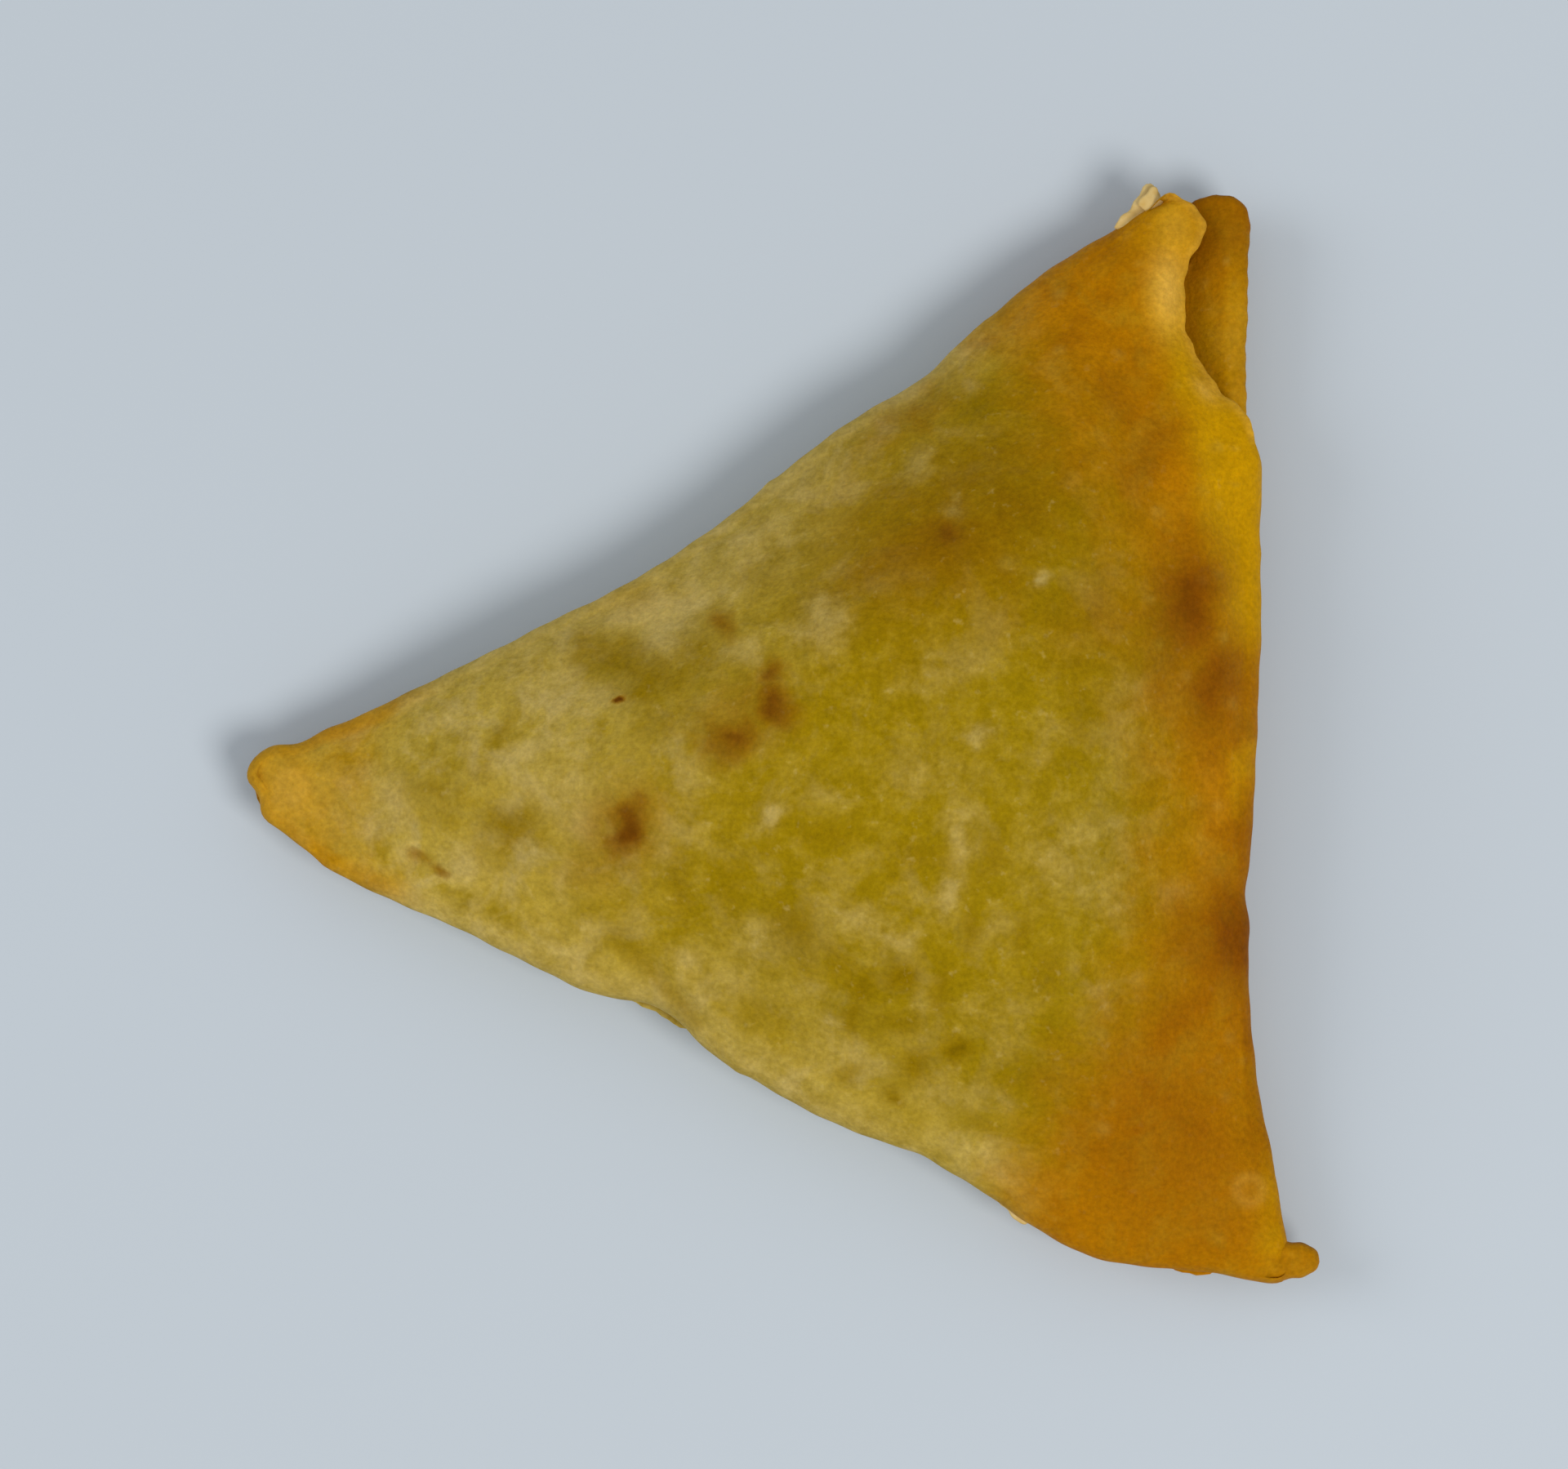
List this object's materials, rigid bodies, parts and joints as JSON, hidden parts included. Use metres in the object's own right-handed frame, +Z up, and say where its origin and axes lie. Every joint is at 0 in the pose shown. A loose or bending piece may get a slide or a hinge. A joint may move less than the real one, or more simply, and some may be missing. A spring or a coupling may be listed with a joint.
{
  "type": "samosa",
  "caption": "Flat triangular fried pastry parcel, folded from a thin strip round a savoury filling, with an open folded corner and a blunt closed one.",
  "frame": {"origin": "centre of the bounding box in plan, on the surface that the parcel lies on", "axes": "+Z up out of the shown face, +Y towards the open folded corner, -X towards the closed blunt corner, in metres"},
  "size_m": [0.0722, 0.0736, 0.0165],
  "materials": {
    "fried_pastry": "thin fried wheat pastry: nearly matte with a thin film of oil, pale olive yellow on its broad face, orange brown at its corners and its right edge, with small blisters and browned spots"
  },
  "bodies": {
    "root": {"samosa": "fried_pastry"}
  },
  "joints": []
}
